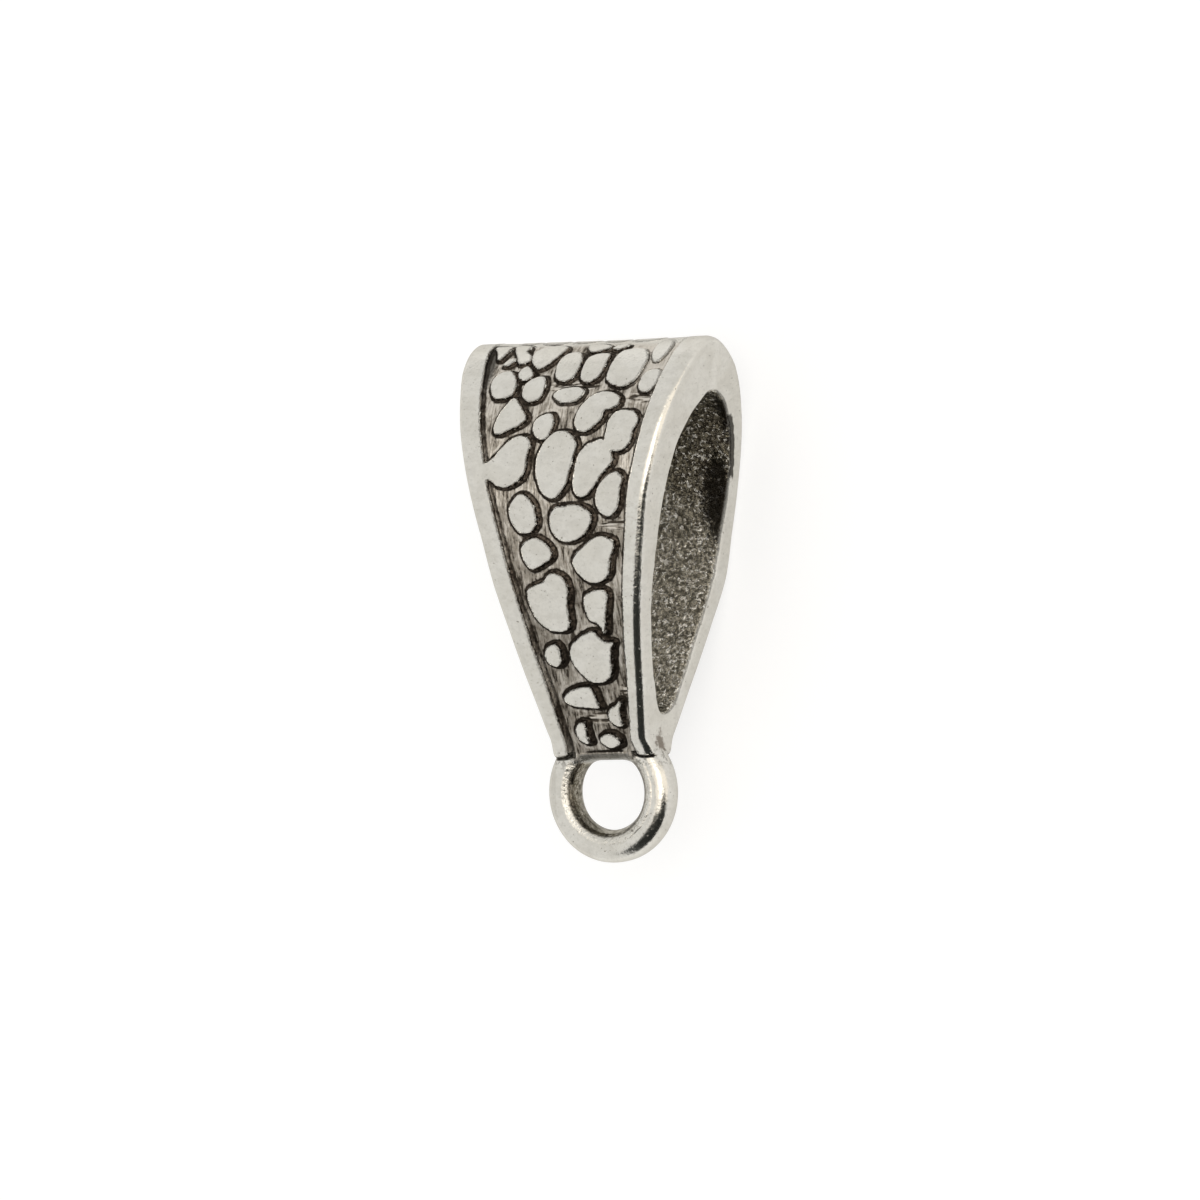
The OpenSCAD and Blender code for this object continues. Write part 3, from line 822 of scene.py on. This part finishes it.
CREASE, LIP_GREY = (0.018, 0.015, 0.012, 1), (0.27, 0.265, 0.245, 1)
WRINKLE, BLOT = (0.16, 0.15, 0.13, 1), (0.13, 0.10, 0.075, 1)
CAST_LOW_DARK, CAST_LOW_LIGHT = (0.120, 0.108, 0.082, 1), (0.47, 0.435, 0.36, 1)
CAST_HIGH_DARK, CAST_HIGH_LIGHT = (0.045, 0.038, 0.026, 1), (0.29, 0.26, 0.195, 1)
GLINT_SPECK, HAIR = (0.88, 0.85, 0.79, 1), (0.85, 0.82, 0.76, 1)
PAINTED_TUNNEL_SHADE, PAINTED_DARK_REFLECTION = (0.012, 0.010, 0.007, 1), (0.030, 0.027, 0.023, 1)
STAIN_DARK, STAIN_LIGHT = (0.27, 0.25, 0.20, 1), (0.46, 0.43, 0.37, 1)
BORE_EDGE_SHADE, DOT = (0.050, 0.043, 0.034, 1), (0.11, 0.095, 0.075, 1)
BUMP_HEIGHT = 0.000018   # metres


def antique_silver():
    material = bpy.data.materials.new("antique_silver")
    material.use_nodes = True
    g = Graph(material.node_tree)
    depth = g.attribute("depth")
    beside = g.attribute("beside")
    sunk = g.attribute("sunk")
    mm = g.scaled(g.node("ShaderNodeTexCoord").outputs["Object"], 1000, 1000, 1000)
    sheet = g.attribute("sheet", "Vector")
    fine = g.noise(mm, 9.0, 3.0, 0.6)
    small = g.noise(mm, 3.5, 2.0)
    broad = g.noise(mm, 0.8, 2.0)
    speck = g.noise(mm, 4.8, 3.0, 0.68)
    grain = g.noise(mm, 7.2, 3.0, 0.66)

    # Where the surface is: on the panel's floor, beside a wall, in the tunnel, in the ring's hole
    inner = g.attribute("inner")
    worn = g.attribute("wear")
    lip = g.attribute("lip")
    arch = g.times(g.attribute("arch"), g.step(g.attribute("body"), 0.0, 0.05))
    panel = g.times(g.step(g.attribute("rim"), -0.10, -0.02), g.fall(g.attribute("body"), 0.02, 0.07))
    panel = g.times(panel, g.fall(inner, -0.5, -0.3))
    tunnel = g.step(inner, -0.16, -0.02)
    throat = g.step(g.attribute("hole"), -0.11, -0.03)
    dots = g.times(g.step(g.attribute("hole"), -0.30, -0.16), g.step(speck, 0.60, 0.66))
    floor = g.math("MAXIMUM", g.times(g.step(depth, 0.04, 0.10), panel), arch)

    # A dark band lies along every wall, blackest at the wall's foot
    wobbled = g.plus(beside, g.swing(small, 0.06))
    wobbled = g.plus(wobbled, g.swing(fine, 0.06))
    wobbled = g.plus(wobbled, g.times(worn, 0.05))
    down = g.math("ABSOLUTE", g.node("ShaderNodeSeparateXYZ", {0: sheet}).outputs[1])
    wobbled = g.plus(wobbled, g.step(down, 2.0, 8.0, 0.035, 0.0))
    by_rim = g.fall(g.minus(g.attribute("rim"), beside), 0.12, 0.17)
    wobbled = g.plus(wobbled, g.times(by_rim, 0.03))
    band = g.fall(wobbled, 0.13, 0.165)
    ragged = g.plus(depth, g.swing(speck, 0.07))
    glint = g.times(g.step(grain, 0.565, 0.62), g.fall(depth, 0.07, 0.12))
    band = g.times(g.times(band, panel), g.step(ragged, 0.010, 0.030))
    band = g.times(band, g.minus(1.0, glint))
    band = g.times(band, g.step(sunk, 0.12, 0.6, 0.30, 1.0))
    band = g.times(band, g.step(worn, 0.2, 0.9, 1.0, 0.42))
    foot = g.fall(g.math("ABSOLUTE", g.minus(wobbled, 0.115)), 0.03, 0.065)
    burr = g.fall(g.math("ABSOLUTE", g.minus(wobbled, 0.225)), 0.01, 0.05)
    burr = g.times(burr, g.step(broad, 0.42, 0.6))
    side = g.attribute("side")
    crease = g.times(g.fall(g.attribute("crease"), 0.10, 0.16), g.fall(side, -0.07, -0.01))
    crease = g.times(crease, g.minus(1.0, lip))

    # Satin silver with small dark pits
    silver = g.mix(g.step(broad, 0.35, 0.65), SILVER_LOW, SILVER_HIGH)
    scuff = g.noise(g.scaled(mm, 1.0, 1.6, 1.0), 2.1, 3.0, 0.6)
    silver = g.mix(g.step(scuff, 0.40, 0.66, 0.0, 0.22), silver, SCUFF)
    silver = g.mix(g.times(g.step(fine, 0.52, 0.74), 0.26), silver, FLECK)
    silver = g.mix(g.step(fine, 0.26, 0.42, 0.16, 0.0), silver, BRIGHT_FLECK)
    pits = g.fall(g.noise(mm, 11.0, 1.0), 0.225, 0.275)
    silver = g.mix(g.times(pits, 0.75), silver, PIT)

    # The floor's strokes run along the leg, and across it in the marked patches
    along = g.noise(g.scaled(sheet, 11, 1.6, 1), 1.0, 3.0, 0.65)
    athwart = g.noise(g.scaled(sheet, 1.2, 8, 1), 1.0, 1.0, 0.5)
    athwart = g.step(athwart, 0.36, 0.62, 0.14, 0.80)
    cross = g.attribute("cross")
    strokes = g.blend(cross, along, athwart)
    grit = g.noise(mm, 7.0, 4.0, 0.7)
    patch = g.noise(g.scaled(sheet, 3.2, 0.9, 1), 1.0, 2.0, 0.5)
    tone = g.plus(strokes, g.swing(broad, 0.45))
    tone = g.plus(tone, g.swing(patch, 0.85))
    tone = g.plus(tone, g.times(burr, 0.12))
    tone = g.plus(tone, g.swing(grit, 0.45))
    tone = g.plus(tone, g.step(sunk, 0.3, 1.0, 0.10, 0.0))
    tone = g.plus(tone, g.times(worn, 0.22))
    taupe = g.mix(g.step(tone, 0.30, 0.48), TAUPE_DARK, TAUPE)
    taupe = g.mix(g.step(tone, 0.50, 0.70), taupe, TAUPE_LIGHT)
    # Painted shade: a dark wedge on the panel's floor in the nook by the rim near the crown
    nook_shade = g.plus(g.attribute("nook"), g.swing(speck, 0.9))
    nook_shade = g.times(g.step(nook_shade, 0.30, 0.70, 0.0, 0.85), g.step(depth, 0.02, 0.05))
    umber = g.mix(g.step(grit, 0.40, 0.60), UMBER_DARK, UMBER)
    umber = g.mix(g.step(down, 10.5, 14.0, 0.0, 0.65), umber, UMBER_FOOT)
    umber = g.mix(g.times(by_rim, g.step(patch, 0.35, 0.6, 0.1, 0.7)), umber, taupe)
    # Painted shade: the silver near the crown's top is greyed to tone down its bright reflection
    crown = g.times(g.step(down, 0.2, 0.9, 0.22, 0.0), g.fall(depth, 0.12, 0.25))
    silver = g.mix(crown, silver, CROWN_SHADE_GREY)
    # Painted shade: the side faces are a shade darker, to tone down the floor's reflection in them
    silver = g.mix(g.step(side, -0.06, -0.01), silver, g.mix(0.10, silver, SIDE_SHADE_GREY))
    colour = g.mix(floor, silver, taupe)
    colour = g.mix(band, colour, umber)
    colour = g.mix(g.times(nook_shade, panel), colour, NOOK_SHADE_COLOUR)
    foot = g.times(foot, g.step(speck, 0.34, 0.62, 1.0, 0.6))
    colour = g.mix(g.times(band, foot), colour, WALL_FOOT)
    sill = g.plus(g.attribute("sill"), g.swing(small, 1.1))
    colour = g.mix(g.math("MAXIMUM", crease, g.step(sill, 0.42, 0.75)), colour, CREASE)
    colour = g.mix(g.times(lip, 0.75), colour, LIP_GREY)
    wrinkle = g.times(g.fall(g.attribute("crease"), 0.12, 0.75), g.step(speck, 0.50, 0.60))
    colour = g.mix(g.times(wrinkle, 0.62), colour, WRINKLE)
    blot = g.plus(g.attribute("blot"), g.swing(speck, 1.6))
    colour = g.mix(g.step(blot, 0.42, 0.95, 0.0, 0.8), colour, BLOT)

    # The tunnel is as cast: brown grey and coarse, darker above, with small bright specks of
    # painted highlight and, lower down, hair scratches
    high = g.attribute("high")
    curl = g.noise(mm, 6.0, 2.0, 0.6)
    low_tone = g.mix(g.step(grain, 0.40, 0.60), CAST_LOW_DARK, CAST_LOW_LIGHT)
    high_tone = g.mix(g.step(grain, 0.42, 0.62), CAST_HIGH_DARK, CAST_HIGH_LIGHT)
    cast = g.mix(high, low_tone, high_tone)
    # Painted highlights: sparse bright specks that stand in for glints on the cast surface
    speck_glint = g.plus(curl, g.swing(small, 0.35))
    speck_glint = g.step(speck_glint, 0.58, 0.64)
    cast = g.mix(g.times(speck_glint, 0.85), cast, GLINT_SPECK)
    hair = g.math("ABSOLUTE", g.minus(g.noise(g.scaled(mm, 1.4, 2.8, 1.8), 1.0, 1.0), 0.5))
    hair = g.times(g.fall(hair, 0.008, 0.022), g.step(broad, 0.42, 0.55))
    hair = g.times(hair, g.step(high, 0.2, 0.9, 1.0, 0.25))
    cast = g.mix(g.times(hair, 0.7), cast, HAIR)
    # Painted shade: the deep part of the tunnel goes near black
    tunnel_shade = g.plus(g.attribute("tunnel_shade"), g.swing(speck, 1.8))
    cast = g.mix(g.step(tunnel_shade, 0.40, 0.85, 0.0, 0.95), cast, PAINTED_TUNNEL_SHADE)
    colour = g.mix(tunnel, colour, cast)
    jagged = g.plus(inner, g.swing(small, 0.16))
    # Painted reflection: a dark strip along the mouth's rounded edge on the back leg
    dark_reflection = g.plus(g.attribute("dark_reflection"), g.swing(speck, 1.2))
    dark_reflection = g.times(g.step(dark_reflection, 0.30, 0.75), g.step(jagged, -0.36, -0.31))
    dark_reflection = g.times(dark_reflection, g.fall(jagged, -0.09, -0.05))
    colour = g.mix(g.times(dark_reflection, 0.93), colour, PAINTED_DARK_REFLECTION)
    bore = g.attribute("bore")
    bore_patina_and_shade = g.mix(g.step(small, 0.38, 0.62), STAIN_DARK, STAIN_LIGHT)
    # Painted shade: dark lines along the bore's front and back edges, over the patina's mottled grey
    shaded = g.math("MAXIMUM", g.step(bore, 0.10, 0.22, 0.75, 0.0), g.step(bore, 0.34, 0.42))
    shaded = g.times(shaded, g.step(speck, 0.36, 0.60, 1.0, 0.35))
    bore_patina_and_shade = g.mix(shaded, bore_patina_and_shade, BORE_EDGE_SHADE)
    colour = g.mix(g.times(dots, 0.75), colour, DOT)
    colour = g.mix(g.times(throat, g.minus(1.0, lip)), colour, bore_patina_and_shade)

    # Roughness, then the small forms that the bump raises
    rough = g.step(floor, 0.0, 1.0, 0.19, 0.40)
    rough = g.plus(rough, g.swing(small, 0.10))
    rough = g.plus(rough, g.times(tunnel, 0.05))

    relief = g.plus(g.times(fine, 0.45), g.times(small, 0.6))
    relief = g.plus(relief, g.times(g.times(strokes, floor), 3.0))
    relief = g.plus(relief, g.times(g.times(grit, band), 3.0))
    relief = g.minus(relief, g.times(pits, 0.6))
    lining = g.times(g.step(depth, 0.0, 0.02), g.fall(depth, 0.05, 0.09))
    lining = g.times(g.times(lining, panel), g.fall(beside, 0.10, 0.14))
    relief = g.plus(relief, g.times(g.times(lining, grain), 7.0))
    hole = g.attribute("hole")
    brim = g.times(g.step(hole, -0.40, -0.24), g.fall(hole, -0.06, -0.01))
    brim = g.math("MAXIMUM", g.times(brim, 0.6), g.times(g.attribute("shiver"), 0.22))
    relief = g.plus(relief, g.times(g.times(brim, grain), 4.5))
    coarse = g.times(g.plus(speck, g.times(grain, 0.5)), g.math("MAXIMUM", tunnel, g.times(throat, 0.1)))
    relief = g.plus(relief, g.times(coarse, 8.5))
    bump = g.node("ShaderNodeBump", {"Height": relief, "Strength": 1.0, "Distance": BUMP_HEIGHT}).outputs[0]
    shader = g.node("ShaderNodeBsdfPrincipled", {
        "Base Color": colour, "Metallic": 1.0, "Roughness": rough, "Normal": bump,
        "Specular Tint": (0.74, 0.73, 0.70, 1)})
    g.node("ShaderNodeOutputMaterial", {"Surface": shader.outputs[0]})
    return material


FLOOR_SIZE = 1.2     # metres
FLOOR_GLOW = 0.70    # the pale floor glows a little, as a light table does


def floor_material():
    material = bpy.data.materials.new("pale_floor")
    material.use_nodes = True
    shader = material.node_tree.nodes["Principled BSDF"]
    shader.inputs["Base Color"].default_value = (0.38, 0.38, 0.38, 1)
    shader.inputs["Emission Color"].default_value = (1, 1, 1, 1)
    shader.inputs["Emission Strength"].default_value = FLOOR_GLOW
    shader.inputs["Roughness"].default_value = 0.9
    shader.inputs["Specular IOR Level"].default_value = 0.1
    return material


# Scene
scene = bpy.context.scene
bail = bpy.data.objects.new("bail_cast", build_bail())
scene.collection.objects.link(bail)
bail.data.materials.append(antique_silver())
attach(bail, "root")
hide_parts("bail")

bpy.ops.mesh.primitive_plane_add(size=FLOOR_SIZE)
ground = bpy.context.object
ground.name = "floor"
ground.data.materials.append(floor_material())

# The camera looks at the upright bail from the right at this azimuth and height
AZIMUTH, ELEVATION, ROLL = 30.0, 0.5, 1.95
DISTANCE = 500.0             # millimetres
SENSOR = 36                  # millimetres
PIXELS_PER_MM = 26.15
IMAGE_SIDE = 1200
RING_AT = (613.5, 792.0)     # where the ring's centre falls in the picture, in pixels


def add_camera():
    az, el, roll = (math.radians(v) for v in (AZIMUTH, ELEVATION, ROLL))
    right = np.array([math.cos(az), math.sin(az), 0])
    ahead = np.array([-math.sin(az) * math.cos(el), math.cos(az) * math.cos(el), -math.sin(el)])
    up = np.cross(right, ahead)
    across = right * math.cos(roll) - up * math.sin(roll)
    upward = right * math.sin(roll) + up * math.cos(roll)
    away = ((RING_AT[0] - IMAGE_SIDE / 2) / PIXELS_PER_MM, (IMAGE_SIDE / 2 - RING_AT[1]) / PIXELS_PER_MM)
    middle = np.array([0, 0, RING_Z]) - across * away[0] - upward * away[1]
    eye = middle - ahead * DISTANCE
    data = bpy.data.cameras.new("camera")
    data.sensor_fit = "HORIZONTAL"
    data.sensor_width = SENSOR
    data.lens = SENSOR * DISTANCE / (IMAGE_SIDE / PIXELS_PER_MM)
    data.clip_start = 0.01
    data.clip_end = 20
    camera = bpy.data.objects.new("camera", data)
    x, y, z = (Vector(lain([v])[0]) for v in (across, upward, -ahead))
    turn = Matrix((x, y, z)).transposed()
    camera.matrix_world = Matrix.Translation(Vector(placed([eye])[0])) @ turn.to_4x4()
    scene.collection.objects.link(camera)
    scene.camera = camera


add_camera()


def area_light(name, at, size, power, colour):
    data = bpy.data.lights.new(name, "AREA")
    data.shape = "RECTANGLE"
    data.size, data.size_y = size
    data.energy = power
    data.color = colour
    light = bpy.data.objects.new(name, data)
    light.location = at
    light.rotation_euler = (-Vector(at)).to_track_quat("-Z", "Y").to_euler()
    scene.collection.objects.link(light)


KEY_AT, KEY_SIZE, KEY_WATTS = (0.30, 0.10, 0.62), (0.4, 0.4), 0.6   # metres, metres, watts
area_light("key", KEY_AT, KEY_SIZE, KEY_WATTS, (1.0, 0.97, 0.92))

# A pale tent all round, with a warm opening above and a dark stand before the bail's foot.
# Each row: direction, cosines at which it starts and is whole, colour
TENT = (0.93, 0.925, 0.91, 1)
WARM, STAND = (1.45, 1.37, 1.25, 1), (0.022, 0.024, 0.022, 1)
PATCHES = [
    ((0.52, 0.12, 0.84), 0.84, 0.93, WARM), ((0.92, 0.16, 0.36), 0.88, 0.95, WARM),
    ((0.12, 0.14, 0.98), 0.90, 0.96, WARM), ((0.22, -0.72, 0.65), 0.865, 0.92, STAND),
    ((0.66, -0.60, 0.42), 0.865, 0.92, STAND), ((0.74, -0.38, 0.55), 0.93, 0.965, STAND),
    ((0.00, -0.72, 0.69), 0.93, 0.965, STAND), ((0.10, -0.50, 0.86), 0.945, 0.97, STAND),
    ((0.58, -0.80, 0.12), 0.90, 0.94, STAND), ((0.25, -0.93, 0.28), 0.91, 0.95, STAND)]

world = bpy.data.worlds.new("tent")
scene.world = world
world.use_nodes = True
w = Graph(world.node_tree)
ray = w.node("ShaderNodeTexCoord").outputs["Generated"]
sky = TENT
for direction, start, whole, colour in PATCHES:
    unit = tuple(Vector(direction).normalized())
    near = w.node("ShaderNodeVectorMath", {0: ray, 1: unit}, operation="DOT_PRODUCT").outputs["Value"]
    sky = w.mix(w.step(near, start, whole), sky, colour)
tent = w.node("ShaderNodeBackground", {"Color": sky, "Strength": 1.0})
w.node("ShaderNodeOutputWorld", {"Surface": tent.outputs[0]})

scene.view_settings.view_transform = "Standard"
